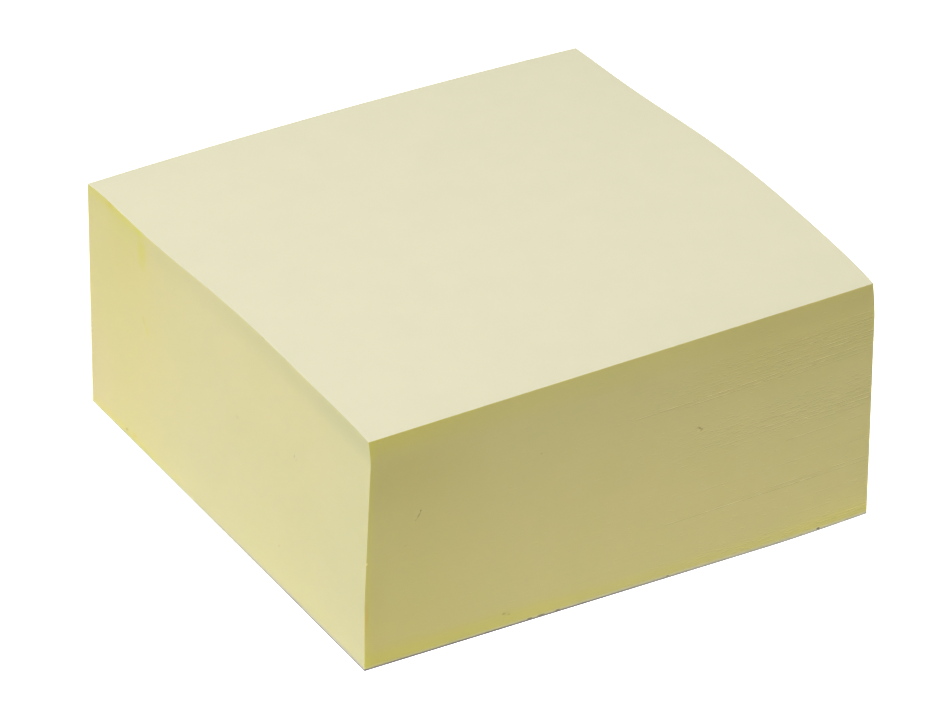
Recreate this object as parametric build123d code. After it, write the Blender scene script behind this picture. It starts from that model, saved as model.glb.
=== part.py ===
from build123d import *
import os

os.makedirs("parts", exist_ok=True)

# A block of plain self-stick notes: one solid stack of sheets on a thin backing sheet.
# Millimetres, +Z up. X runs along the free front edge and Y towards the glued back edge.
# The origin is on the table, under the middle of the pad.

# ---------------------------------------------------------------------------
# Driving dimensions
# ---------------------------------------------------------------------------

note_width = 76.0  # along the free edge
note_length = 76.0  # from the free edge to the glued edge
stack_height = 34.0  # the notes where they are pressed flat, over the backing sheet
backing_thickness = 0.2

# Places along the length where the height of the top note changes.
droop_length = 9.0  # behind the free edge, where the loose notes sink back
crest_distance = 27.0  # from the free edge to the highest line of the swell
swell_foot_distance = 26.0  # from the glued edge to the foot of the swell
glue_strip_depth = 15.0  # from the glued edge to the front of the adhesive
glue_middle_distance = 6.0  # from the glued edge to the middle of the adhesive

# How far the top note's left and right edges lie above the pressed height, at the free
# edge, the end of the droop, the crest, the foot of the swell, the front and the middle
# of the adhesive, and the glued edge.
left_rises = (0.10, 0.65, 1.15, 0.40, -0.10, 0.10, -0.40)
right_rises = (1.50, 2.60, 3.30, 2.30, 1.25, 0.80, 0.35)
back_bow = 0.7  # how far the middle of the glued edge stands above its two ends

# How far the notes have crept out of square: X and Y offsets of a corner. The lower
# notes lie true, the offset grows up to the crest, and the last few notes slip back.
true_height = 10.0  # of the lower notes, which lie true
creep_crest_depth = 3.2  # of the crest under the pressed height
slip_height = 4.6  # above the crest, over which the notes slip back
creep_sections = 14  # outlines that carry the creep up the stack
front_left_crest_creep = (0.68, -0.39)
front_left_end_creep = (0.41, -0.24)
front_right_crest_creep = (-0.06, 0.03)
front_right_end_creep = (-0.35, 0.20)
back_right_crest_creep = (-0.20, 0.12)
back_right_end_creep = (-0.30, 0.17)

# Room left round a cutting shape, so that it passes right through the stack.
cut_margin = 1.0

stack_base = backing_thickness
pressed_top = stack_base + stack_height
creep_crest = pressed_top - creep_crest_depth
column_top = pressed_top + max(right_rises) + back_bow + cut_margin


# ---------------------------------------------------------------------------
# Cut edges of the stack
# ---------------------------------------------------------------------------

def creep_at(height, crest_creep, end_creep):
    """One corner's X and Y offset at a height."""
    climb = (height - true_height) / (creep_crest - true_height)
    slip = (height - creep_crest) / slip_height
    climb = min(max(climb, 0.0), 1.0)
    slip = min(max(slip, 0.0), 1.0)
    return tuple(crest * climb + (end - crest) * slip
                 for crest, end in zip(crest_creep, end_creep))


def outline(height):
    """One sheet's outline at a height, with its corners moved by the creep."""
    half_width = note_width / 2
    half_length = note_length / 2
    front_left = creep_at(height, front_left_crest_creep, front_left_end_creep)
    front_right = creep_at(height, front_right_crest_creep, front_right_end_creep)
    back_right = creep_at(height, back_right_crest_creep, back_right_end_creep)
    corners = (
        (-half_width + front_left[0], -half_length + front_left[1], height),
        (half_width + front_right[0], -half_length + front_right[1], height),
        (half_width + back_right[0], half_length + back_right[1], height),
        (-half_width, half_length, height),
    )
    return Wire.make_polygon(corners, close=True)


def sheet_column():
    """The cut edges of the notes, from the backing sheet to above the top note."""
    spacing = (column_top - stack_base) / creep_sections
    heights = [stack_base + spacing * index for index in range(creep_sections + 1)]
    return Solid.make_loft([outline(height) for height in heights])


# ---------------------------------------------------------------------------
# Top note
# ---------------------------------------------------------------------------

def top_note():
    """The top note's surface: swollen behind its free edge, flat over the adhesive."""
    free_edge = -note_length / 2
    glued_edge = note_length / 2
    lines = (
        free_edge - cut_margin,
        free_edge + droop_length,
        free_edge + crest_distance,
        glued_edge - swell_foot_distance,
        glued_edge - glue_strip_depth,
        glued_edge - glue_middle_distance,
        glued_edge + cut_margin,
    )
    shares = (0.0, 0.25, 0.5, 0.75, 1.0)  # from the left edge to the right edge
    surface_width = note_width + 2 * cut_margin
    rows = []
    for y, left_rise, right_rise in zip(lines, left_rises, right_rises):
        backwards = (y - lines[0]) / (lines[-1] - lines[0])
        row = []
        for share in shares:
            bow = back_bow * backwards ** 2 * 4 * share * (1 - share)
            rise = left_rise + (right_rise - left_rise) * share + bow
            row.append((surface_width * (share - 0.5), y, pressed_top + rise))
        rows.append(row)
    return Face.make_surface_from_array_of_points(rows)


# ---------------------------------------------------------------------------
# Pieces
# ---------------------------------------------------------------------------

def note_stack():
    """All the notes as one solid: under the top note and inside the cut edges."""
    under_top_note = Solid.extrude(top_note(), Vector(0, 0, -column_top))
    return sheet_column() & under_top_note


def backing_sheet():
    """The thin sheet under the last note."""
    return extrude(Rectangle(note_width, note_length), backing_thickness)


export_step(backing_sheet(), "parts/backing_sheet.step")
export_step(note_stack(), "parts/note_stack.step")
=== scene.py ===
"""Looks of the sticky note pad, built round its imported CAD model. Everything is in metres."""

import math

import bmesh
import bpy
import numpy as np
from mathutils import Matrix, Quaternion, Vector
from mathutils.bvhtree import BVHTree


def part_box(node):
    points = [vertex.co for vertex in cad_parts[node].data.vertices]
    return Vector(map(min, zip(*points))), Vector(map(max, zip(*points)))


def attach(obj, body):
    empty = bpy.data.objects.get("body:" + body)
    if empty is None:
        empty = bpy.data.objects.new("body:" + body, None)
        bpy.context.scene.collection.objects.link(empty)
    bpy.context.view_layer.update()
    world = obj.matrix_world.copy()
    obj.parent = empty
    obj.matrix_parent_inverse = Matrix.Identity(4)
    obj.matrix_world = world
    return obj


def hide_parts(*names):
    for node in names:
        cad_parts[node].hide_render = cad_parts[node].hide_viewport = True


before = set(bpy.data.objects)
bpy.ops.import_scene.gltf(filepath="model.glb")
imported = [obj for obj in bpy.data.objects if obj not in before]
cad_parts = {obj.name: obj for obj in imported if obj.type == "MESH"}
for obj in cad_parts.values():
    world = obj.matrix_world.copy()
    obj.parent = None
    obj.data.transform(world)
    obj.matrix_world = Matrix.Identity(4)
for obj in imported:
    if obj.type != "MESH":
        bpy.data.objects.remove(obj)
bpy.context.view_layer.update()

MM = 0.001

# ---------------------------------------------------------------------------
# The stack, as the CAD model has it
# ---------------------------------------------------------------------------

stack_low, stack_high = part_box("note_stack")
backing_low, backing_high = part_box("backing_sheet")
half_width = backing_high.x
half_length = backing_high.y
foot_height = stack_low.z

# The measure of the zones and marks on the cut faces, in millimetres: a side's length, and the
# even height that the whole stack counts as.
SIDE_LENGTH = 2 * half_width / MM
STACK_HEIGHT = 34.0

SHEETS = 400
SIDE_COLUMNS = 30  # mesh columns along each side of a sheet
RINGS = 2 * SHEETS  # one outline at the bottom and one at the top of each sheet

# The sides in the order of the mesh columns: start corner and end corner in half sizes.
FREE_SIDE, RIGHT_SIDE, GLUED_SIDE, LEFT_SIDE = range(4)
SIDE_CORNERS = (((-1, -1), (1, -1)), ((1, -1), (1, 1)), ((1, 1), (-1, 1)), ((-1, 1), (-1, -1)))
SIDE_NORMALS = ((0, -1), (1, 0), (0, 1), (-1, 0))

# The lifted corner: the foot of the free edge curls up a little at its right end, and the
# sheets in the middle of the stack are lifted there over a longer way. A curve says how steeply
# the lift falls off: 1 is a straight slope.
LIFT_CORNER = Vector((half_width, -half_length))
FOOT_RISE = 0.5 * MM
FOOT_REACH = 15 * MM
FOOT_CURVE = 1.5
FOOT_SHARE = 0.12  # share of the stack's height that bends with the foot
FOOT_SHARE_CURVE = 2
BODY_RISE = 0.75 * MM
BODY_REACH = 36 * MM
BODY_CURVE = 1.3
BODY_SHARES = (0.0, 0.24, 0.72, 1.0)  # where that lift starts, is full, is full still, and ends

# Single sheets that stand proud along the free edge, towards its right end: the sheet's height
# as a share of the stack's, where it starts to show as a share of the edge's length from the
# left, and how far it stands proud. The rows' order is the order of their random draws.
PROUD_SHEETS = (
    (0.880, 0.66, 0.014 * MM),
    (0.850, 0.60, 0.024 * MM),
    (0.838, 0.52, 0.022 * MM),
    (0.821, 0.56, 0.030 * MM),
    (0.804, 0.64, 0.018 * MM),
    (0.788, 0.50, 0.028 * MM),
    (0.771, 0.54, 0.034 * MM),
    (0.756, 0.62, 0.020 * MM),
    (0.736, 0.36, 0.055 * MM),
    (0.721, 0.44, 0.030 * MM),
    (0.690, 0.60, 0.014 * MM),
    (0.706, 0.56, 0.022 * MM),
    (0.566, 0.60, 0.026 * MM),
    (0.551, 0.50, 0.028 * MM),
    (0.536, 0.64, 0.020 * MM),
    (0.519, 0.46, 0.034 * MM),
    (0.500, 0.52, 0.028 * MM),
    (0.478, 0.62, 0.016 * MM),
    (0.430, 0.50, 0.018 * MM),
    (0.385, 0.58, 0.014 * MM),
    (0.330, 0.40, 0.012 * MM),
    (0.247, 0.48, 0.026 * MM),
    (0.231, 0.42, 0.034 * MM),
    (0.160, 0.50, 0.012 * MM),
    (0.100, 0.62, 0.014 * MM),
    (0.056, 0.78, 0.026 * MM),
    (0.043, 0.74, 0.034 * MM),
    (0.030, 0.70, 0.034 * MM),
    (0.019, 0.76, 0.024 * MM),
)
PROUD_FADE = 0.35  # share of the edge's length over which a proud sheet comes out
PROUD_UNEVEN = (0.35, 1.15)  # lowest and highest share of how far it stands proud along its way

# The slight scatter of all sheets. On the free edge it is smaller at the left end than at the
# right one. The other sides were cut clean, and have one value at their start and one at their end.
RANDOM_SEED = 11
FREE_SCATTER = 0.0012 * MM
FREE_SCATTER_LEFT = 0.6
FREE_SCATTER_GAIN = 0.8
RIGHT_SCATTER = (0.004 * MM, 0.002 * MM)
GLUED_SCATTER = (0.002 * MM, 0.002 * MM)
LEFT_SCATTER = (0.0015 * MM, 0.0015 * MM)
SET_BACK_LIMIT = 0.03 * MM  # the most that a side's sheets are set back

MERGE_DISTANCE = 0.0001 * MM


def smooth(low, high, value):
    """0 below low, 1 above high, and eased between them."""
    share = np.clip((value - low) / (high - low), 0.0, 1.0)
    return share * share * (3 - 2 * share)


# ---------------------------------------------------------------------------
# Shape read from the CAD mesh
# ---------------------------------------------------------------------------

def cad_tree(node):
    """A search tree over a CAD node's faces."""
    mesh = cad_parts[node].data
    mesh.calc_loop_triangles()
    points = [vertex.co.copy() for vertex in mesh.vertices]
    faces = [tuple(face.vertices) for face in mesh.loop_triangles]
    return BVHTree.FromPolygons(points, faces)


stack_tree = cad_tree("note_stack")

ACROSS_DEGREE = 4
ALONG_DEGREE = 6
TOP_SAMPLES = 41  # points read each way on the top note
TOP_INSET = 0.985  # how near the top note's borders they come
SET_DOWN = 0.04 * MM  # keeps the smooth surface under the CAD model's highest point


def surface_terms(x, y):
    """The terms of a smooth surface over the pad."""
    across = x / half_width
    along = y / half_length
    powers = [(i, j) for i in range(ACROSS_DEGREE + 1) for j in range(ALONG_DEGREE + 1)]
    return [across ** i * along ** j for i, j in powers]


def fit_top():
    """A smooth surface through the CAD top note, read on a grid of points."""
    rows = []
    heights = []
    for i in range(TOP_SAMPLES):
        for j in range(TOP_SAMPLES):
            x = (2 * i / (TOP_SAMPLES - 1) - 1) * half_width * TOP_INSET
            y = (2 * j / (TOP_SAMPLES - 1) - 1) * half_length * TOP_INSET
            hit = stack_tree.ray_cast(Vector((x, y, 2 * stack_high.z)), Vector((0, 0, -1)))
            rows.append(surface_terms(x, y))
            heights.append(hit[0].z)
    return np.linalg.lstsq(np.array(rows), np.array(heights), rcond=None)[0]


top_factors = fit_top()


def top_height(x, y):
    """Height of the top note over the floor."""
    return float(np.dot(surface_terms(x, y), top_factors)) - SET_DOWN


def corner_lift(x, y, share):
    """How far a point is lifted near the corner, by its share of the stack's height."""
    distance = (Vector((x, y)) - LIFT_CORNER).length
    near_foot = max(0.0, 1 - distance / FOOT_REACH) ** FOOT_CURVE
    low = max(0.0, 1 - share / FOOT_SHARE) ** FOOT_SHARE_CURVE
    near_body = max(0.0, 1 - distance / BODY_REACH) ** BODY_CURVE
    start, full, still, end = BODY_SHARES
    middle = float(smooth(start, full, share) * (1 - smooth(still, end, share)))
    return FOOT_RISE * near_foot * low + BODY_RISE * near_body * middle


def sheet_height(x, y, share):
    """Height of the sheet at that share of the stack: the swell grows evenly upwards."""
    rise = (top_height(x, y) - foot_height) * share
    return foot_height + rise + corner_lift(x, y, share)


def side_point(column, share):
    """A point on the CAD model's cut faces: a column round the stack, and a share of its height."""
    side, step = divmod(column % (4 * SIDE_COLUMNS), SIDE_COLUMNS)
    start, end = (Vector(corner) for corner in SIDE_CORNERS[side])
    corner = start.lerp(end, step / SIDE_COLUMNS)
    x = corner.x * half_width
    y = corner.y * half_length
    height = sheet_height(x, y, share)
    outwards = 2 * MM
    if step == 0:
        outside = Vector((x + corner.x * outwards, y + corner.y * outwards, height))
    else:
        normal = SIDE_NORMALS[side]
        outside = Vector((x + normal[0] * outwards, y + normal[1] * outwards, height))
    nearest = stack_tree.find_nearest(outside)[0]
    return Vector((nearest.x, nearest.y, height))


# ---------------------------------------------------------------------------
# How far each sheet stands in or out
# ---------------------------------------------------------------------------

def free_edge_offsets(random):
    """Offsets along the free edge: still at the left, and single proud sheets to the right."""
    along = (np.arange(SIDE_COLUMNS + 1) / SIDE_COLUMNS)[None, :]
    scatter = FREE_SCATTER_LEFT + FREE_SCATTER_GAIN * along
    offsets = FREE_SCATTER * random.normal(size=(SHEETS, 1)) * scatter
    for level, start, proud in PROUD_SHEETS:
        fade = smooth(start, start + PROUD_FADE, along[0])
        uneven = random.uniform(*PROUD_UNEVEN, size=SIDE_COLUMNS + 1)
        offsets[int(level * SHEETS)] += proud * fade * uneven
    return offsets


def calm_offsets(random, at_start, at_end):
    """Offsets along a side that was cut clean, from its start to its end."""
    along = (np.arange(SIDE_COLUMNS + 1) / SIDE_COLUMNS)[None, :]
    amount = at_start + (at_end - at_start) * along
    whole = random.normal(size=(SHEETS, 1))
    turn = random.normal(size=(SHEETS, 1)) * (along - 0.5)
    return amount * (whole + turn)


def sheet_offsets():
    """Each side's offsets, set back by the strongest one, or by the limit if that is less.

    So only the strongest proud sheets stand a little out of the CAD model's face.
    """
    random = np.random.default_rng(RANDOM_SEED)
    sides = [
        free_edge_offsets(random),
        calm_offsets(random, *RIGHT_SCATTER),
        calm_offsets(random, *GLUED_SCATTER),
        calm_offsets(random, *LEFT_SCATTER),
    ]
    return [offsets - np.minimum(np.max(offsets), SET_BACK_LIMIT) for offsets in sides]


side_offsets = sheet_offsets()


def edge_shift(sheet, column):
    """The sheet's in or out shift at a column; a corner takes the shifts of both its sides."""
    side, step = divmod(column % (4 * SIDE_COLUMNS), SIDE_COLUMNS)
    shift = Vector(SIDE_NORMALS[side]) * side_offsets[side][sheet, step]
    if step == 0:
        before = (side - 1) % 4
        shift += Vector(SIDE_NORMALS[before]) * side_offsets[before][sheet, SIDE_COLUMNS]
    return Vector((shift.x, shift.y, 0.0))


def sheet_relief(sheet, column):
    """How much farther out the sheet stands than the next one above it, in millimetres."""
    above = min(sheet + 1, SHEETS - 1)
    side, step = divmod(column % (4 * SIDE_COLUMNS), SIDE_COLUMNS)
    relief = side_offsets[side][sheet, step] - side_offsets[side][above, step]
    if step == 0:
        before = side_offsets[(side - 1) % 4][:, SIDE_COLUMNS]
        relief = max(relief, before[sheet] - before[above], key=abs)
    return float(relief) / MM


# ---------------------------------------------------------------------------
# Mesh of the notes
# ---------------------------------------------------------------------------

def new_grid(bm, columns, rows):
    """A new flat grid: its vertices, each with its column and its row."""
    half = 0.5
    made = bmesh.ops.create_grid(bm, x_segments=columns, y_segments=rows, size=half)["verts"]
    return {vertex: (round((vertex.co.x + half) * columns), round((vertex.co.y + half) * rows))
            for vertex in made}


def place_wall(bm, uv_layer, relief_layer):
    """The cut edges: a grid wrapped round the stack, with two rows for each sheet."""
    columns = 4 * SIDE_COLUMNS
    rows = RINGS - 1
    steps = new_grid(bm, columns, rows)
    cad_points = {}
    for vertex, (column, ring) in steps.items():
        sheet = ring // 2
        boundary = (ring + 1) // 2
        key = (column, boundary)
        if key not in cad_points:
            cad_points[key] = side_point(column, boundary / SHEETS)
        vertex.co = cad_points[key] + edge_shift(sheet, column)
        vertex[relief_layer] = sheet_relief(sheet, column)
    column_width = SIDE_LENGTH / SIDE_COLUMNS
    faces = {face for vertex in steps for face in vertex.link_faces}
    for face in faces:
        side = min(steps[vertex][0] for vertex in face.verts) // SIDE_COLUMNS
        face.material_index = 1 + side
        for loop in face.loops:
            column, ring = steps[loop.vert]
            loop[uv_layer].uv = (column * column_width, (ring + 1) // 2)
    rims = {}
    for vertex, (column, ring) in steps.items():
        if ring in (0, rows) and column < columns:
            rims[(column, ring == rows)] = vertex.co.copy()
    return rims


def rim_column(i, j):
    """The wall column that meets a cap's grid vertex, or None inside the cap."""
    last = SIDE_COLUMNS
    if j == 0:
        return i
    if i == last:
        return last + j
    if j == last:
        return 3 * last - i
    if i == 0:
        return (4 * last - j) % (4 * last)
    return None


def place_cap(bm, rims, top):
    """The top note's face, or the underside of the last one, inside the rim of the wall."""
    last = SIDE_COLUMNS
    steps = new_grid(bm, last, last)
    corners = [rims[(side * last, top)] for side in range(4)]
    for vertex, (i, j) in steps.items():
        column = rim_column(i, j)
        if column is not None:
            vertex.co = rims[(column, top)]
            continue
        front = corners[0].lerp(corners[1], i / last)
        back = corners[3].lerp(corners[2], i / last)
        place = front.lerp(back, j / last)
        vertex.co = (place.x, place.y, sheet_height(place.x, place.y, 1.0 if top else 0.0))
    faces = {face for vertex in steps for face in vertex.link_faces}
    for face in faces:
        face.material_index = 0
        face.smooth = True
    if not top:
        bmesh.ops.reverse_faces(bm, faces=list(faces))


def finished_object(name, bm, materials):
    """A mesh object from a bmesh, with its faces turned outwards."""
    bmesh.ops.recalc_face_normals(bm, faces=bm.faces)
    mesh = bpy.data.meshes.new(name)
    bm.to_mesh(mesh)
    bm.free()
    for material in materials:
        mesh.materials.append(material)
    made = bpy.data.objects.new(name, mesh)
    bpy.context.scene.collection.objects.link(made)
    return made


def build_notes(materials):
    """The block of notes: every sheet's cut edge, and the two outer faces."""
    bm = bmesh.new()
    uv_layer = bm.loops.layers.uv.new("sheets")
    relief_layer = bm.verts.layers.float.new("relief")
    rims = place_wall(bm, uv_layer, relief_layer)
    place_cap(bm, rims, True)
    place_cap(bm, rims, False)
    bmesh.ops.remove_doubles(bm, verts=bm.verts, dist=MERGE_DISTANCE)
    for edge in bm.edges:
        if len({face.material_index for face in edge.link_faces}) > 1:
            edge.smooth = False
    return finished_object("notes", bm, materials)


def build_backing(materials):
    """The backing sheet, lifted with the curled corner of the foot."""
    segments = 40
    bm = bmesh.new()
    bmesh.ops.create_grid(bm, x_segments=segments, y_segments=segments, size=1.0)
    for vertex in bm.verts:
        x = vertex.co.x * half_width
        y = vertex.co.y * half_length
        vertex.co = (x, y, corner_lift(x, y, 0.0))
    bmesh.ops.recalc_face_normals(bm, faces=bm.faces)
    made = bmesh.ops.extrude_face_region(bm, geom=list(bm.faces))["geom"]
    upper = [item for item in made if isinstance(item, bmesh.types.BMVert)]
    bmesh.ops.translate(bm, verts=upper, vec=(0, 0, backing_high.z - backing_low.z))
    return finished_object("backing", bm, materials)


# ---------------------------------------------------------------------------
# Shader parts
# ---------------------------------------------------------------------------

def add_node(tree, kind, inputs=(), **settings):
    """A node with its settings, and its input values or links by name or number."""
    node = tree.nodes.new(kind)
    for name, value in settings.items():
        setattr(node, name, value)
    for name, value in dict(inputs).items():
        if isinstance(value, bpy.types.NodeSocket):
            tree.links.new(value, node.inputs[name])
        else:
            node.inputs[name].default_value = value
    return node


def math_node(tree, operation, *values):
    """The result of a math node on values or sockets."""
    return add_node(tree, "ShaderNodeMath", dict(enumerate(values)), operation=operation).outputs[0]


def ease(tree, value, low, high, low_result=0.0, high_result=1.0):
    """A smooth step of a value from one result to another."""
    inputs = {"Value": value, "From Min": low, "From Max": high,
              "To Min": low_result, "To Max": high_result}
    return add_node(tree, "ShaderNodeMapRange", inputs,
                    interpolation_type="SMOOTHSTEP").outputs["Result"]


def blend(tree, factor, first, second, kind="MIX"):
    """Two colours blended by a factor."""
    node = add_node(tree, "ShaderNodeMix", {"Factor": factor}, data_type="RGBA", blend_type=kind)
    for socket, value in ((node.inputs[6], first), (node.inputs[7], second)):
        if isinstance(value, bpy.types.NodeSocket):
            tree.links.new(value, socket)
        else:
            socket.default_value = (*value, 1.0)
    return node.outputs[2]


def new_group(name, inputs, outputs):
    """An empty shader group with its sockets, and its input and output nodes."""
    group = bpy.data.node_groups.new(name, "ShaderNodeTree")
    for socket_name, kind, value in inputs:
        socket = group.interface.new_socket(socket_name, in_out="INPUT", socket_type=kind)
        if value is not None:
            socket.default_value = value
    for socket_name, kind in outputs:
        group.interface.new_socket(socket_name, in_out="OUTPUT", socket_type=kind)
    return group, group.nodes.new("NodeGroupInput"), group.nodes.new("NodeGroupOutput")


FLOAT = "NodeSocketFloat"
VECTOR = "NodeSocketVector"


def paper_grain_group():
    """Cloudy formation and fine fibres of uncoated paper."""
    group, given, result = new_group(
        "paper_grain",
        [("Position", VECTOR, None), ("Cloud Size", FLOAT, 3.0), ("Fibre Size", FLOAT, 0.12)],
        [("Cloud", FLOAT), ("Fibre", FLOAT)])
    millimetres = add_node(group, "ShaderNodeVectorMath",
                           {0: given.outputs["Position"], "Scale": 1 / MM}, operation="SCALE")
    cloud_scale = math_node(group, "DIVIDE", 1.0, given.outputs["Cloud Size"])
    cloud = add_node(group, "ShaderNodeTexNoise",
                     {"Vector": millimetres.outputs[0], "Scale": cloud_scale, "Detail": 4.0,
                      "Roughness": 0.6})
    fibre_scale = math_node(group, "DIVIDE", 1.0, given.outputs["Fibre Size"])
    fibre = add_node(group, "ShaderNodeTexNoise",
                     {"Vector": millimetres.outputs[0], "Scale": fibre_scale, "Detail": 3.0,
                      "Roughness": 0.7, "Distortion": 1.2})
    group.links.new(cloud.outputs["Fac"], result.inputs["Cloud"])
    group.links.new(fibre.outputs["Fac"], result.inputs["Fibre"])
    return group


# How far apart neighbouring sheets lie in the noise that gives each its own pattern.
TONE_STEP = 3.7
TUFT_STEP = 5.3
BREAK_STEP = 6.1

GAP_WIDTH = 0.16  # how far the gap between two sheets shades each, as a share of its thickness
TUFT_RIM = 0.06  # how softly a tuft ends, in the noise's measure
BREAK_SHEETS = 4.0  # sheets that break together
BREAK_LENGTH = 1.8  # how far apart a line breaks, in millimetres
BREAK_LEAST = 0.45  # how much of a line is left where it breaks


def sheet_lines_group():
    """Cut sheets seen from the side: a tone for each sheet, and painted shade in the thin gap
    between two.
    """
    group, given, result = new_group(
        "sheet_lines",
        [("Sheets", VECTOR, None), ("Length Scale", FLOAT, 0.04)],
        [("Tone", FLOAT), ("Gap", FLOAT)])
    parts = add_node(group, "ShaderNodeSeparateXYZ", {0: given.outputs["Sheets"]})
    number = math_node(group, "FLOOR", parts.outputs["Y"])
    along = math_node(group, "MULTIPLY", parts.outputs["X"], given.outputs["Length Scale"])
    apart = math_node(group, "MULTIPLY", number, TONE_STEP)
    place = add_node(group, "ShaderNodeCombineXYZ", {"X": along, "Y": apart})
    tone = add_node(group, "ShaderNodeTexNoise",
                    {"Vector": place.outputs[0], "Scale": 1.0, "Detail": 2.0},
                    noise_dimensions="2D")
    part = math_node(group, "FRACT", parts.outputs["Y"])
    other = math_node(group, "SUBTRACT", 1.0, part)
    nearest = math_node(group, "MINIMUM", part, other)
    gap = ease(group, nearest, 0.0, GAP_WIDTH, 1.0, 0.0)
    group.links.new(tone.outputs["Fac"], result.inputs["Tone"])
    group.links.new(gap, result.inputs["Gap"])
    return group


def edge_zones_group():
    """Distances in millimetres from the borders of one cut face, from its sheet coordinates."""
    group, given, result = new_group(
        "edge_zones",
        [("Sheets", VECTOR, None), ("Side Start", FLOAT, 0.0), ("Side Length", FLOAT, SIDE_LENGTH),
         ("Stack Height", FLOAT, STACK_HEIGHT)],
        [("From Start", FLOAT), ("From End", FLOAT), ("From Foot", FLOAT), ("From Top", FLOAT)])
    parts = add_node(group, "ShaderNodeSeparateXYZ", {0: given.outputs["Sheets"]})
    from_start = math_node(group, "SUBTRACT", parts.outputs["X"], given.outputs["Side Start"])
    from_end = math_node(group, "SUBTRACT", given.outputs["Side Length"], from_start)
    share = math_node(group, "DIVIDE", parts.outputs["Y"], float(SHEETS))
    from_foot = math_node(group, "MULTIPLY", share, given.outputs["Stack Height"])
    from_top = math_node(group, "SUBTRACT", given.outputs["Stack Height"], from_foot)
    for name, value in (("From Start", from_start), ("From End", from_end),
                        ("From Foot", from_foot), ("From Top", from_top)):
        group.links.new(value, result.inputs[name])
    return group


def tufts_group():
    """Short tufts where the knife tore a sheet: a painted highlight on the sheet, and a painted
    shadow just under it.

    Broken is a mask that breaks long lines up along their way.
    """
    group, given, result = new_group(
        "tufts",
        [("Sheets", VECTOR, None), ("Length", FLOAT, 1.2), ("Rarity", FLOAT, 0.66)],
        [("Light", FLOAT), ("Dark", FLOAT), ("Broken", FLOAT)])
    parts = add_node(group, "ShaderNodeSeparateXYZ", {0: given.outputs["Sheets"]})
    along = math_node(group, "DIVIDE", parts.outputs["X"], given.outputs["Length"])
    number = math_node(group, "FLOOR", parts.outputs["Y"])
    full = math_node(group, "ADD", given.outputs["Rarity"], TUFT_RIM)
    for name, step in (("Light", 0.0), ("Dark", 1.0)):
        row = math_node(group, "MULTIPLY", math_node(group, "ADD", number, step), TUFT_STEP)
        place = add_node(group, "ShaderNodeCombineXYZ", {"X": along, "Y": row})
        noise = add_node(group, "ShaderNodeTexNoise",
                         {"Vector": place.outputs[0], "Scale": 1.0, "Detail": 1.0},
                         noise_dimensions="2D").outputs["Fac"]
        group.links.new(ease(group, noise, given.outputs["Rarity"], full), result.inputs[name])
    bunch = math_node(group, "FLOOR", math_node(group, "DIVIDE", parts.outputs["Y"], BREAK_SHEETS))
    place = add_node(group, "ShaderNodeCombineXYZ",
                     {"X": math_node(group, "DIVIDE", parts.outputs["X"], BREAK_LENGTH),
                      "Y": math_node(group, "MULTIPLY", bunch, BREAK_STEP)})
    noise = add_node(group, "ShaderNodeTexNoise",
                     {"Vector": place.outputs[0], "Scale": 1.0, "Detail": 2.0},
                     noise_dimensions="2D").outputs["Fac"]
    group.links.new(ease(group, noise, 0.38, 0.58, BREAK_LEAST, 1.0), result.inputs["Broken"])
    return group


def speck_group():
    """A small long or round mark at one place on a cut face, in its sheet coordinates."""
    group, given, result = new_group(
        "speck",
        [("From Start", FLOAT, 0.0), ("From Foot", FLOAT, 0.0), ("Start", FLOAT, 0.0),
         ("Foot", FLOAT, 0.0), ("Turn", FLOAT, 0.0), ("Half Length", FLOAT, 1.0),
         ("Half Width", FLOAT, 1.0), ("Softness", FLOAT, 0.5)],
        [("Mask", FLOAT)])
    place = add_node(group, "ShaderNodeCombineXYZ",
                     {"X": math_node(group, "SUBTRACT", given.outputs["From Start"],
                                     given.outputs["Start"]),
                      "Y": math_node(group, "SUBTRACT", given.outputs["From Foot"],
                                     given.outputs["Foot"])})
    back = math_node(group, "MULTIPLY", given.outputs["Turn"], -1.0)
    turned = add_node(group, "ShaderNodeVectorRotate",
                      {"Vector": place.outputs[0], "Angle": back}, rotation_type="Z_AXIS")
    size = add_node(group, "ShaderNodeCombineXYZ",
                    {"X": given.outputs["Half Length"], "Y": given.outputs["Half Width"],
                     "Z": 1.0})
    shape = add_node(group, "ShaderNodeVectorMath",
                     {0: turned.outputs[0], 1: size.outputs[0]}, operation="DIVIDE")
    distance = add_node(group, "ShaderNodeVectorMath", {0: shape.outputs[0]},
                        operation="LENGTH").outputs["Value"]
    inner = math_node(group, "SUBTRACT", 1.0, given.outputs["Softness"])
    group.links.new(ease(group, distance, inner, 1.0, 1.0, 0.0), result.inputs["Mask"])
    return group


paper_grain = paper_grain_group()
sheet_lines = sheet_lines_group()
edge_zones = edge_zones_group()
tufts = tufts_group()
speck = speck_group()


def place_group(tree, group, **inputs):
    """A shader group placed in a material, with its inputs by name; _ stands for a space."""
    node = tree.nodes.new("ShaderNodeGroup")
    node.node_tree = group
    for name, value in inputs.items():
        socket = node.inputs[name.replace("_", " ")]
        if isinstance(value, bpy.types.NodeSocket):
            tree.links.new(value, socket)
        else:
            socket.default_value = value
    return node


# ---------------------------------------------------------------------------
# Materials
# ---------------------------------------------------------------------------

NOTE_FACE = (0.700, 0.672, 0.478)
NOTE_CLOUD = 0.985  # how dark the faint clouds of a note's face are
CUT_SIDE = (0.697, 0.644, 0.340)
# The free edge's cut paper is made yellower and a little darker than the sides': painted shade of
# the face turned away from the light.
CUT_FREE_WITH_PAINTED_SHADE = (0.690, 0.620, 0.268)
CUT_GLUED = (0.690, 0.628, 0.300)
BACKING_GREY = (0.330, 0.295, 0.300)
BACKING_PALE = (0.720, 0.710, 0.600)
BACKING_CLOUD = (0.78, 0.78, 0.80)

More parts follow.
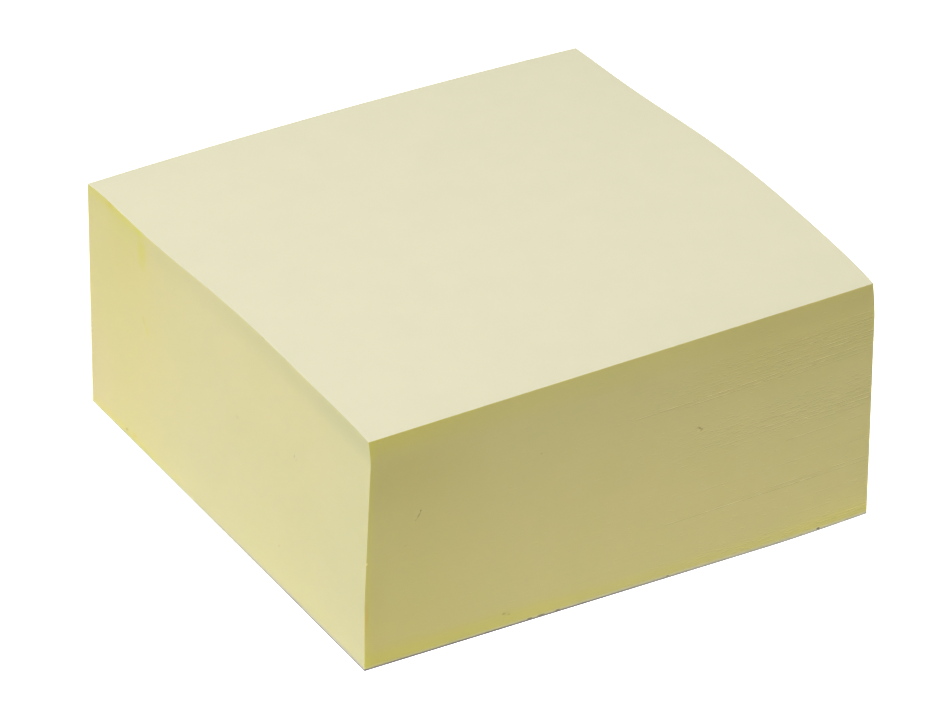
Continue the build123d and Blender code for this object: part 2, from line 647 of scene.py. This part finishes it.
PAPER_ROUGHNESS = 0.85
GLUED_ROUGHNESS = 0.72
PAPER_SPECULAR = 0.25
GRAIN_DEPTH = 0.02 * MM
SCATTER_WEIGHT = 0.3
SCATTER_COLOURS = (1.0, 0.8, 0.35)
SCATTER_DEPTH = 1.2 * MM


def paper_material(name, colour):
    """A new matt paper material: its tree, its shader and its place on the piece."""
    material = bpy.data.materials.new(name)
    material.use_nodes = True
    material.diffuse_color = (*colour, 1.0)
    tree = material.node_tree
    shader = tree.nodes["Principled BSDF"]
    shader.inputs["Roughness"].default_value = PAPER_ROUGHNESS
    shader.inputs["Specular IOR Level"].default_value = PAPER_SPECULAR
    position = tree.nodes.new("ShaderNodeTexCoord").outputs["Object"]
    return material, tree, shader, position


def add_scatter(shader):
    """Light that sinks into the paper and comes out near by, yellower."""
    shader.inputs["Subsurface Weight"].default_value = SCATTER_WEIGHT
    shader.inputs["Subsurface Radius"].default_value = SCATTER_COLOURS
    shader.inputs["Subsurface Scale"].default_value = SCATTER_DEPTH


def add_grain(tree, shader, fibre, strength):
    """The fine fibres as a bump of the surface."""
    bump = add_node(tree, "ShaderNodeBump",
                    {"Strength": strength, "Distance": GRAIN_DEPTH, "Height": fibre})
    tree.links.new(bump.outputs["Normal"], shader.inputs["Normal"])


def note_face_material():
    """The open face of a note: smooth, pale, with faint clouds and fibres."""
    material, tree, shader, position = paper_material("note_face", NOTE_FACE)
    grain = place_group(tree, paper_grain, Position=position, Cloud_Size=6.0, Fibre_Size=0.15)
    cloud = ease(tree, grain.outputs["Cloud"], 0.3, 0.7)
    tone = blend(tree, cloud, tuple(NOTE_CLOUD * part for part in NOTE_FACE), NOTE_FACE)
    tree.links.new(tone, shader.inputs["Base Color"])
    add_grain(tree, shader, grain.outputs["Fibre"], 0.15)
    return material


LINE_DEPTH = 0.012  # how much darker the darkest sheets are, and the painted shade in the gaps between sheets
CLOUD_SHADE = (0.985, 0.985, 0.98)
CLOUD_BLUSH = (1.004, 0.993, 1.004)

# A sheet's relief is how far it stands out of the next one above, in millimetres. A sheet that
# stands out gets a painted highlight, and a sheet under one that stands out a painted shadow.
RELIEF_FROM = 0.002
RELIEF_FULL = 0.030
RELIEF_PAINTED_SHADOW = (0.66, 0.66, 0.66)
RELIEF_PAINTED_HIGHLIGHT = (1.33, 1.34, 1.46)

# Rare tufts all over a face's loose part, and bands of torn fibres close together, each a painted
# highlight on its sheet over a painted shadow on the sheet under it. A band fades from a little
# outside its two distances under the top to a little inside them.
TUFT_PAINTED_SHADOW = (0.90, 0.90, 0.90)
TUFT_PAINTED_HIGHLIGHT = (1.12, 1.12, 1.14)
TORN_PAINTED_SHADOW = (0.86, 0.86, 0.87)
TORN_PAINTED_HIGHLIGHT = (1.13, 1.13, 1.17)
BAND_OUTSIDE = 1.5
BAND_INSIDE = 1.0


class CutEdge:
    """A material for one cut face, built up by tints that are multiplied in one by one.

    Its masks go by the distance in millimetres from one of the face's borders: From Start,
    From End, From Foot or From Top.
    """

    def __init__(self, name, side, colour):
        self.material, self.tree, self.shader, self.position = paper_material(name, colour)
        self.sheets = add_node(self.tree, "ShaderNodeUVMap", uv_map="sheets").outputs["UV"]
        self.zones = place_group(self.tree, edge_zones, Sheets=self.sheets,
                                 Side_Start=side * SIDE_LENGTH, Side_Length=SIDE_LENGTH,
                                 Stack_Height=STACK_HEIGHT).outputs
        self.colour = colour
        add_scatter(self.shader)

    def zone(self, border, low, high, low_result, high_result):
        """A mask that eases from one result to another between two distances from a border."""
        return ease(self.tree, self.zones[border], low, high, low_result, high_result)

    def near(self, border, full, gone):
        """A mask that is 1 near a border, and 0 farther from it."""
        return self.zone(border, full, gone, 1.0, 0.0)

    def past(self, border, gone, full):
        """A mask that is 0 near a border, and 1 farther from it."""
        return self.zone(border, gone, full, 0.0, 1.0)

    def tint(self, colour, *masks):
        """Multiplies the colour by a tint, as far as every mask lets it."""
        whole = masks[0]
        for mask in masks[1:]:
            whole = math_node(self.tree, "MULTIPLY", whole, mask)
        self.colour = blend(self.tree, whole, self.colour, colour, "MULTIPLY")

    def marks(self, rows):
        """Small marks, each at its own place on the face."""
        for start, foot, turn, half_length, half_width, softness, colour in rows:
            made = place_group(self.tree, speck, From_Start=self.zones["From Start"],
                               From_Foot=self.zones["From Foot"], Start=start, Foot=foot,
                               Turn=math.radians(turn), Half_Length=half_length,
                               Half_Width=half_width, Softness=softness)
            self.tint(colour, made.outputs["Mask"])

    def fuzz(self, bands, along):
        """Bands of short torn fibres, each between two distances under the top, each tuft a painted
        highlight over a painted shadow.

        The mask along says where on the face's length they show.
        """
        torn = place_group(self.tree, tufts, Sheets=self.sheets, Length=1.3, Rarity=0.61).outputs
        for low, high in bands:
            under = self.past("From Top", low - BAND_OUTSIDE, low + BAND_INSIDE)
            over = self.near("From Top", high - BAND_INSIDE, high + BAND_OUTSIDE)
            self.tint(TORN_PAINTED_SHADOW, torn["Dark"], under, over, along)
            self.tint(TORN_PAINTED_HIGHLIGHT, torn["Light"], under, over, along)

    def finish(self, loose):
        """Adds the sheets' lines with painted shade in their gaps, a painted highlight and shadow
        where sheets stand out, tufts with a painted highlight and shadow, clouds and fibres, and
        joins everything up.

        The lines and tufts are as strong as the mask of the loose sheets lets them be.
        """
        tree = self.tree
        lines = place_group(tree, sheet_lines, Sheets=self.sheets, Length_Scale=0.04).outputs
        grain = place_group(tree, paper_grain, Position=self.position, Cloud_Size=9.0,
                            Fibre_Size=0.06).outputs
        torn = place_group(tree, tufts, Sheets=self.sheets, Length=1.6, Rarity=0.74).outputs
        relief = add_node(tree, "ShaderNodeAttribute", attribute_name="relief").outputs["Fac"]
        # a darker tone for some sheets at random, and painted shade in the gaps between sheets
        darker = ease(tree, lines["Tone"], 0.35, 0.65, 1.0, 0.0)
        shade = math_node(tree, "ADD", darker, lines["Gap"])
        depth = math_node(tree, "MULTIPLY", loose, LINE_DEPTH)
        self.tint((0.0, 0.0, 0.0), depth, shade)
        # painted shadow on a sheet under one that stands out, and a painted highlight on one that
        # stands out
        self.tint(RELIEF_PAINTED_SHADOW, ease(tree, relief, -RELIEF_FROM, -RELIEF_FULL), torn["Broken"])
        self.tint(RELIEF_PAINTED_HIGHLIGHT, ease(tree, relief, RELIEF_FROM, RELIEF_FULL), torn["Broken"])
        # tufts: a painted highlight on the torn fibres and a painted shadow under them
        self.tint(TUFT_PAINTED_SHADOW, torn["Dark"], loose)
        self.tint(TUFT_PAINTED_HIGHLIGHT, torn["Light"], loose)
        self.tint(CLOUD_SHADE, ease(tree, grain["Cloud"], 0.3, 0.7))
        self.tint(CLOUD_BLUSH, ease(tree, grain["Cloud"], 0.6, 0.4))
        add_grain(tree, self.shader, grain["Fibre"], 0.2)
        tree.links.new(self.colour, self.shader.inputs["Base Color"])
        return self.material


# The marks on the cut faces: distance from the side's start and from the foot, turn in degrees,
# half length, half width, softness of the rim, and tint. Lengths are in millimetres.
FREE_EDGE_MARKS = (
    # light nick and warmer stretch along the left corner
    (0.1, 15.9, 90.0, 0.24, 0.22, 0.6, (1.32, 1.35, 1.65)),
    (0.3, 8.0, 90.0, 3.2, 0.45, 0.8, (1.04, 0.95, 0.88)),
    # thin dark stroke near the left end
    (8.05, 21.5, 62.0, 0.22, 0.11, 0.6, (0.42, 0.40, 0.40)),
    (7.80, 20.9, 58.0, 0.64, 0.09, 0.7, (0.48, 0.46, 0.46)),
    (7.35, 20.3, 20.0, 0.26, 0.06, 0.7, (0.66, 0.64, 0.64)),
    # scuff near the foot
    (20.8, 1.95, -10.0, 1.0, 0.5, 0.9, (0.94, 0.94, 0.92)),
    (20.5, 2.0, 0.0, 0.34, 0.14, 0.7, (0.70, 0.66, 0.66)),
    (21.3, 1.7, 20.0, 0.30, 0.10, 0.7, (0.78, 0.74, 0.74)),
    # nick in the middle, with a light fleck
    (49.5, 20.7, -35.0, 0.46, 0.16, 0.7, (0.58, 0.56, 0.56)),
    (49.8, 20.4, 40.0, 0.38, 0.12, 0.7, (0.66, 0.64, 0.62)),
    (49.3, 20.35, 15.0, 0.34, 0.10, 0.7, (1.14, 1.14, 1.20)),
    (49.1, 20.9, 20.0, 0.40, 0.07, 0.7, (0.82, 0.80, 0.78)),
    # faint specks
    (25.7, 24.4, 0.0, 0.18, 0.12, 0.7, (0.80, 0.78, 0.78)),
    (5.9, 16.9, 0.0, 0.35, 0.08, 0.7, (0.88, 0.86, 0.84)),
    # dark dashes along the foot
    (24.4, 0.10, 0.0, 0.55, 0.14, 0.6, (0.50, 0.48, 0.50)),
    (26.1, 0.10, 0.0, 0.75, 0.14, 0.6, (0.50, 0.48, 0.50)),
    (28.6, 0.10, 0.0, 0.45, 0.14, 0.6, (0.50, 0.48, 0.50)),
    (45.2, 0.10, 0.0, 0.30, 0.14, 0.6, (0.50, 0.48, 0.50)),
    (68.4, 0.06, 0.0, 0.34, 0.26, 0.5, (0.28, 0.27, 0.27)),
)
LEFT_SIDE_MARKS = (
    # smears of adhesive in the glued strip
    (6.4, 33.6, 0.0, 1.6, 0.8, 0.9, (1.0, 0.95, 0.74)),
    (14.6, 33.6, 0.0, 1.7, 0.9, 0.9, (1.0, 1.02, 0.74)),
    (15.3, 30.7, 93.0, 3.4, 1.8, 0.85, (0.985, 1.0, 0.74)),
    (15.7, 20.6, 120.0, 1.1, 0.75, 0.9, (0.97, 0.98, 0.82)),
    (16.6, 19.5, 110.0, 1.4, 1.1, 0.9, (0.99, 1.0, 0.82)),
    # nick, reddish dot and faint stain towards the free edge
    (57.0, 21.1, 80.0, 0.36, 0.11, 0.7, (0.66, 0.60, 0.58)),
    (57.5, 20.8, 60.0, 0.30, 0.10, 0.7, (0.84, 0.78, 0.76)),
    (53.2, 5.9, 0.0, 0.26, 0.20, 0.7, (0.94, 0.74, 0.72)),
    (41.7, 18.8, 0.0, 0.70, 0.45, 0.9, (0.93, 0.93, 0.93)),
    # spots near the foot
    (10.2, 0.8, 0.0, 0.30, 0.20, 0.5, (0.62, 0.60, 0.55)),
    (12.5, 1.1, 20.0, 0.9, 0.6, 0.9, (1.0, 0.96, 0.80)),
    (24.5, 0.9, 0.0, 1.2, 0.5, 0.9, (1.0, 1.0, 0.80)),
    # specks under the top edge
    (48.8, 33.9, 0.0, 0.30, 0.16, 0.6, (0.72, 0.72, 0.66)),
    (54.7, 33.9, 0.0, 0.24, 0.14, 0.6, (0.78, 0.78, 0.70)),
    # shade along the foot line
    (37.4, 0.05, 0.0, 1.6, 0.40, 0.9, (0.88, 0.88, 0.98)),
    (50.0, 0.05, 0.0, 15.0, 0.42, 0.9, (0.90, 0.90, 1.03)),
    (57.5, 0.05, 0.0, 4.0, 0.42, 0.9, (0.84, 0.84, 0.96)),
)


def free_edge_material():
    """The free edge: painted light glowing yellower towards its borders, painted shade a little
    under its top, and loose sheets at its right end.
    """
    edge = CutEdge("cut_free_edge", FREE_SIDE, CUT_FREE_WITH_PAINTED_SHADE)
    near_start = edge.near("From Start", 4.0, 20.0)
    short_of_end = edge.near("From Start", 44.0, 60.0)
    near_end = edge.past("From Start", 44.0, 60.0)
    # top edge: painted light, brighter and yellower, coming through the paper from the top note,
    # and painted shade a little lower
    edge.tint((1.0, 1.0, 0.95), edge.near("From Top", 0.3, 1.6))
    edge.tint((1.0, 1.01, 0.89), edge.near("From Top", 1.4, 4.6), short_of_end)
    edge.tint((1.035, 1.04, 0.92), edge.near("From Top", 1.0, 3.2), near_start)
    edge.tint((0.97, 0.965, 0.96), edge.near("From Top", 2.0, 4.0), near_end)
    edge.tint((1.0, 1.0, 0.90), edge.near("From Top", 4.0, 14.0), near_end)
    edge.tint((0.965, 0.965, 0.93), edge.past("From Top", 2.6, 5.0),
              edge.near("From Top", 7.0, 14.0), near_start)
    # foot: painted light from the floor, brighter and yellower through the paper, and a pale
    # painted line of light at the very foot
    edge.tint((1.02, 1.035, 0.87), edge.near("From Foot", 0.8, 2.6))
    edge.tint((1.005, 1.01, 0.89), edge.near("From Foot", 1.6, 3.8),
              edge.near("From Start", 24.0, 38.0))
    edge.tint((1.06, 1.06, 0.97), edge.near("From Foot", 1.5, 5.5),
              edge.near("From End", 3.0, 18.0))
    edge.tint((1.01, 1.0, 0.97), edge.near("From Foot", 4.0, 9.0),
              edge.near("From Start", 3.0, 14.0))
    edge.tint((1.10, 1.12, 1.75), edge.near("From Foot", 0.2, 0.45))
    # left end: darker and yellower towards it, with painted light glowing yellow along the corner,
    # where light from the left side comes through the paper
    edge.tint((0.955, 0.955, 0.87), edge.near("From Start", 3.0, 27.0))
    edge.tint((1.0, 1.025, 0.88), edge.near("From Start", 0.4, 1.5))
    edge.tint((0.98, 0.975, 0.94), edge.near("From Start", 1.5, 4.5),
              edge.near("From Foot", 12.0, 18.0))
    edge.marks(FREE_EDGE_MARKS)
    edge.fuzz(((4.5, 9.5), (13.0, 18.0), (32.0, 40.0)), edge.past("From Start", 36.0, 58.0))
    return edge.finish(edge.zone("From Start", 12.0, 62.0, 0.45, 1.0))


def left_side_material():
    """The left side: warm where the sheets are glued, paler and cooler towards the free edge."""
    edge = CutEdge("cut_left_side", LEFT_SIDE, CUT_SIDE)
    past_corner = edge.past("From Start", 3.0, 12.0)
    # along the whole side
    edge.tint((0.985, 0.97, 0.84), edge.near("From Start", 8.0, 34.0))
    edge.tint((0.985, 1.0, 1.03), edge.past("From Start", 56.0, 74.0))
    edge.tint((0.935, 0.945, 0.955), edge.near("From Foot", 6.0, 34.0),
              edge.past("From Start", 12.0, 40.0))
    # glued strip
    glued = edge.near("From Start", 11.0, 19.0)
    edge.tint((1.0, 1.01, 0.80), edge.near("From Top", 0.5, 2.0), glued)
    edge.tint((1.0, 1.01, 0.95), edge.near("From Top", 1.5, 6.0), glued)
    edge.tint((1.0, 1.0, 0.92), edge.past("From Start", 3.0, 9.0),
              edge.near("From Start", 15.5, 19.0), edge.near("From Top", 5.0, 15.0))
    # painted shade in a band just under the crest of the top edge
    edge.tint((0.93, 0.95, 0.96), edge.past("From Top", -0.6, 0.6),
              edge.near("From Top", 1.6, 4.4), edge.zone("From Start", 18.0, 72.0, 0.3, 1.0))
    # foot
    edge.tint((1.0, 0.975, 1.09), edge.near("From Foot", 3.0, 20.0),
              edge.near("From Start", 2.0, 12.0))
    edge.tint((0.972, 0.975, 1.01), edge.near("From Foot", 6.0, 18.0),
              edge.near("From Start", 20.0, 50.0), past_corner)
    edge.tint((1.01, 1.01, 0.82), edge.near("From Foot", 0.4, 1.8),
              edge.near("From Start", 12.0, 30.0))
    foot_line = edge.near("From Foot", 0.15, 0.5)
    edge.tint((1.06, 1.08, 1.15), foot_line, edge.near("From Start", 18.0, 40.0))
    edge.tint((0.93, 0.95, 1.22), foot_line, edge.past("From Start", 24.0, 48.0))
    edge.marks(LEFT_SIDE_MARKS)
    return edge.finish(edge.zone("From Start", 0.0, SIDE_LENGTH, 0.6, 0.3))


def right_side_material():
    """The right side: warm where the sheets are glued, looser towards the free edge."""
    edge = CutEdge("cut_right_side", RIGHT_SIDE, CUT_SIDE)
    edge.tint((0.985, 0.97, 0.84), edge.near("From End", 8.0, 34.0))
    # glued strip
    glued = edge.near("From End", 15.5, 19.0)
    edge.tint((1.0, 1.0, 0.93), glued, edge.near("From Top", 5.0, 20.0))
    edge.tint((1.0, 1.01, 0.84), glued, edge.near("From Top", 0.5, 2.0))
    # foot
    edge.tint((1.02, 1.02, 0.84), edge.near("From Foot", 0.5, 1.7),
              edge.near("From Start", 8.0, 24.0))
    edge.tint((1.01, 1.01, 0.84), edge.near("From Foot", 0.4, 1.8),
              edge.near("From End", 12.0, 30.0))
    edge.fuzz(((5.5, 9.0), (14.0, 17.5)), edge.zone("From Start", 4.0, 22.0, 0.8, 0.0))
    return edge.finish(edge.zone("From Start", 0.0, 40.0, 1.0, 0.4))


def glued_edge_material():
    """The glued edge: the sheets' tight ends, with long faint streaks left by the adhesive."""
    edge = CutEdge("cut_glued_edge", GLUED_SIDE, CUT_GLUED)
    streaks = place_group(edge.tree, sheet_lines, Sheets=edge.sheets, Length_Scale=0.09).outputs
    tone_range = (0.40, 0.62)
    edge.tint((0.975, 0.97, 0.93), ease(edge.tree, streaks["Tone"], *tone_range))
    edge.tint((1.0, 1.01, 0.92), edge.near("From Top", 0.4, 2.0))
    edge.tint((1.02, 1.03, 0.88), edge.near("From Foot", 0.5, 1.7))
    edge.tint((1.05, 1.06, 1.30), edge.near("From Foot", 0.2, 0.45))
    for corner in ("From Start", "From End"):
        edge.tint((1.0, 1.01, 0.92), edge.near(corner, 0.4, 1.6))
    rough = ease(edge.tree, streaks["Tone"], *tone_range, PAPER_ROUGHNESS, GLUED_ROUGHNESS)
    edge.tree.links.new(rough, edge.shader.inputs["Roughness"])
    return edge.finish(1.0)


def backing_material():
    """The release paper under the last note: grey in front, paler towards its other corners."""
    material, tree, shader, position = paper_material("backing_paper", BACKING_GREY)
    parts = add_node(tree, "ShaderNodeSeparateXYZ", {0: position})
    to_right = ease(tree, parts.outputs["X"], -10 * MM, 26 * MM, 0.0, 0.72)
    to_back = ease(tree, parts.outputs["Y"], -36 * MM, 6 * MM)
    pale = math_node(tree, "MAXIMUM", to_right, to_back)
    tone = blend(tree, pale, BACKING_GREY, BACKING_PALE)
    grain = place_group(tree, paper_grain, Position=position, Cloud_Size=2.5, Fibre_Size=0.1)
    cloud = ease(tree, grain.outputs["Cloud"], 0.3, 0.7)
    tone = blend(tree, cloud, tone, BACKING_CLOUD, "MULTIPLY")
    tree.links.new(tone, shader.inputs["Base Color"])
    add_grain(tree, shader, grain.outputs["Fibre"], 0.2)
    return material


# ---------------------------------------------------------------------------
# Pieces
# ---------------------------------------------------------------------------

notes = build_notes([
    note_face_material(),
    free_edge_material(),
    right_side_material(),
    glued_edge_material(),
    left_side_material(),
])
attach(notes, "root")
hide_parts("note_stack")

backing = build_backing([backing_material()])
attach(backing, "root")
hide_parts("backing_sheet")

# ---------------------------------------------------------------------------
# Camera
# ---------------------------------------------------------------------------

CAMERA_TARGET = Vector((-4.24, -7.18, 20.02)) * MM
CAMERA_DISTANCE = 0.8971
CAMERA_AZIMUTH = math.radians(-30.14)
CAMERA_ELEVATION = math.radians(30.92)
CAMERA_ROLL = math.radians(0.54)
CAMERA_LENS = 258.5
SENSOR_WIDTH = 36.0


def make_camera():
    """The camera, in front of the free edge's left corner and above it."""
    data = bpy.data.cameras.new("camera")
    data.lens = CAMERA_LENS
    data.sensor_width = SENSOR_WIDTH
    data.clip_start = 0.01
    data.clip_end = 20.0
    camera = bpy.data.objects.new("camera", data)
    level = math.cos(CAMERA_ELEVATION)
    back = Vector((math.sin(CAMERA_AZIMUTH) * level, -math.cos(CAMERA_AZIMUTH) * level,
                   math.sin(CAMERA_ELEVATION)))
    camera.location = CAMERA_TARGET + back * CAMERA_DISTANCE
    camera.rotation_mode = "QUATERNION"
    roll = Quaternion((0, 0, 1), CAMERA_ROLL)
    camera.rotation_quaternion = (-back).to_track_quat("-Z", "Y") @ roll
    bpy.context.scene.collection.objects.link(camera)
    bpy.context.scene.camera = camera


make_camera()

# ---------------------------------------------------------------------------
# Floor and light
# ---------------------------------------------------------------------------

FLOOR_HALF_SIZE = 6.0
FLOOR_DROP = 0.02 * MM  # keeps the floor just under the backing sheet
FLOOR_COLOUR = (0.6, 0.6, 0.6)
FLOOR_GLOW = 0.6  # light from the floor round the pad
GLOW_REACH = (0.03, 0.22)  # where that glow starts to fall off, and where it ends
FLOOR_WHITE = 0.95  # keeps the floor white to the camera, without lighting the pad

# The soft lights: name, direction from the pad, size and power.
SOFTBOXES = (
    ("overhead", (-0.25, -0.05, 0.97), 0.7, 8.0),
    ("left", (-0.8, -0.15, 0.58), 0.5, 2.6),
    ("back", (-0.3, 0.75, 0.60), 0.5, 1.2),
)
SOFTBOX_DISTANCE = 1.0
WORLD_STRENGTH = 0.19


def make_floor():
    """A plain white floor that glows softly round the pad."""
    bm = bmesh.new()
    bmesh.ops.create_grid(bm, x_segments=4, y_segments=4, size=FLOOR_HALF_SIZE)
    bmesh.ops.translate(bm, verts=bm.verts, vec=(0, 0, -FLOOR_DROP))
    material = bpy.data.materials.new("floor")
    material.use_nodes = True
    tree = material.node_tree
    shader = tree.nodes["Principled BSDF"]
    shader.inputs["Base Color"].default_value = (*FLOOR_COLOUR, 1.0)
    shader.inputs["Roughness"].default_value = 1.0
    shader.inputs["Specular IOR Level"].default_value = 0.0
    shader.inputs["Emission Color"].default_value = (1.0, 1.0, 1.0, 1.0)
    position = tree.nodes.new("ShaderNodeTexCoord").outputs["Object"]
    distance = add_node(tree, "ShaderNodeVectorMath", {0: position},
                        operation="LENGTH").outputs["Value"]
    glow = ease(tree, distance, *GLOW_REACH, FLOOR_GLOW, 0.0)
    seen = tree.nodes.new("ShaderNodeLightPath").outputs["Is Camera Ray"]
    white = math_node(tree, "MULTIPLY", seen, FLOOR_WHITE)
    strength = math_node(tree, "ADD", glow, white)
    tree.links.new(strength, shader.inputs["Emission Strength"])
    floor = finished_object("floor", bm, [material])


def make_softbox(name, direction, size, power):
    """A square soft light that faces the pad."""
    data = bpy.data.lights.new(name, "AREA")
    data.shape = "SQUARE"
    data.size = size
    data.energy = power
    light = bpy.data.objects.new(name, data)
    towards = Vector(direction).normalized()
    light.location = towards * SOFTBOX_DISTANCE
    light.rotation_mode = "QUATERNION"
    light.rotation_quaternion = (-towards).to_track_quat("-Z", "Y")
    bpy.context.scene.collection.objects.link(light)


def make_world():
    """Even white light from all round."""
    world = bpy.data.worlds.new("studio")
    world.use_nodes = True
    background = world.node_tree.nodes["Background"]
    background.inputs["Color"].default_value = (1.0, 1.0, 1.0, 1.0)
    background.inputs["Strength"].default_value = WORLD_STRENGTH
    bpy.context.scene.world = world


make_floor()
for softbox in SOFTBOXES:
    make_softbox(*softbox)
make_world()
bpy.context.scene.view_settings.view_transform = "Standard"
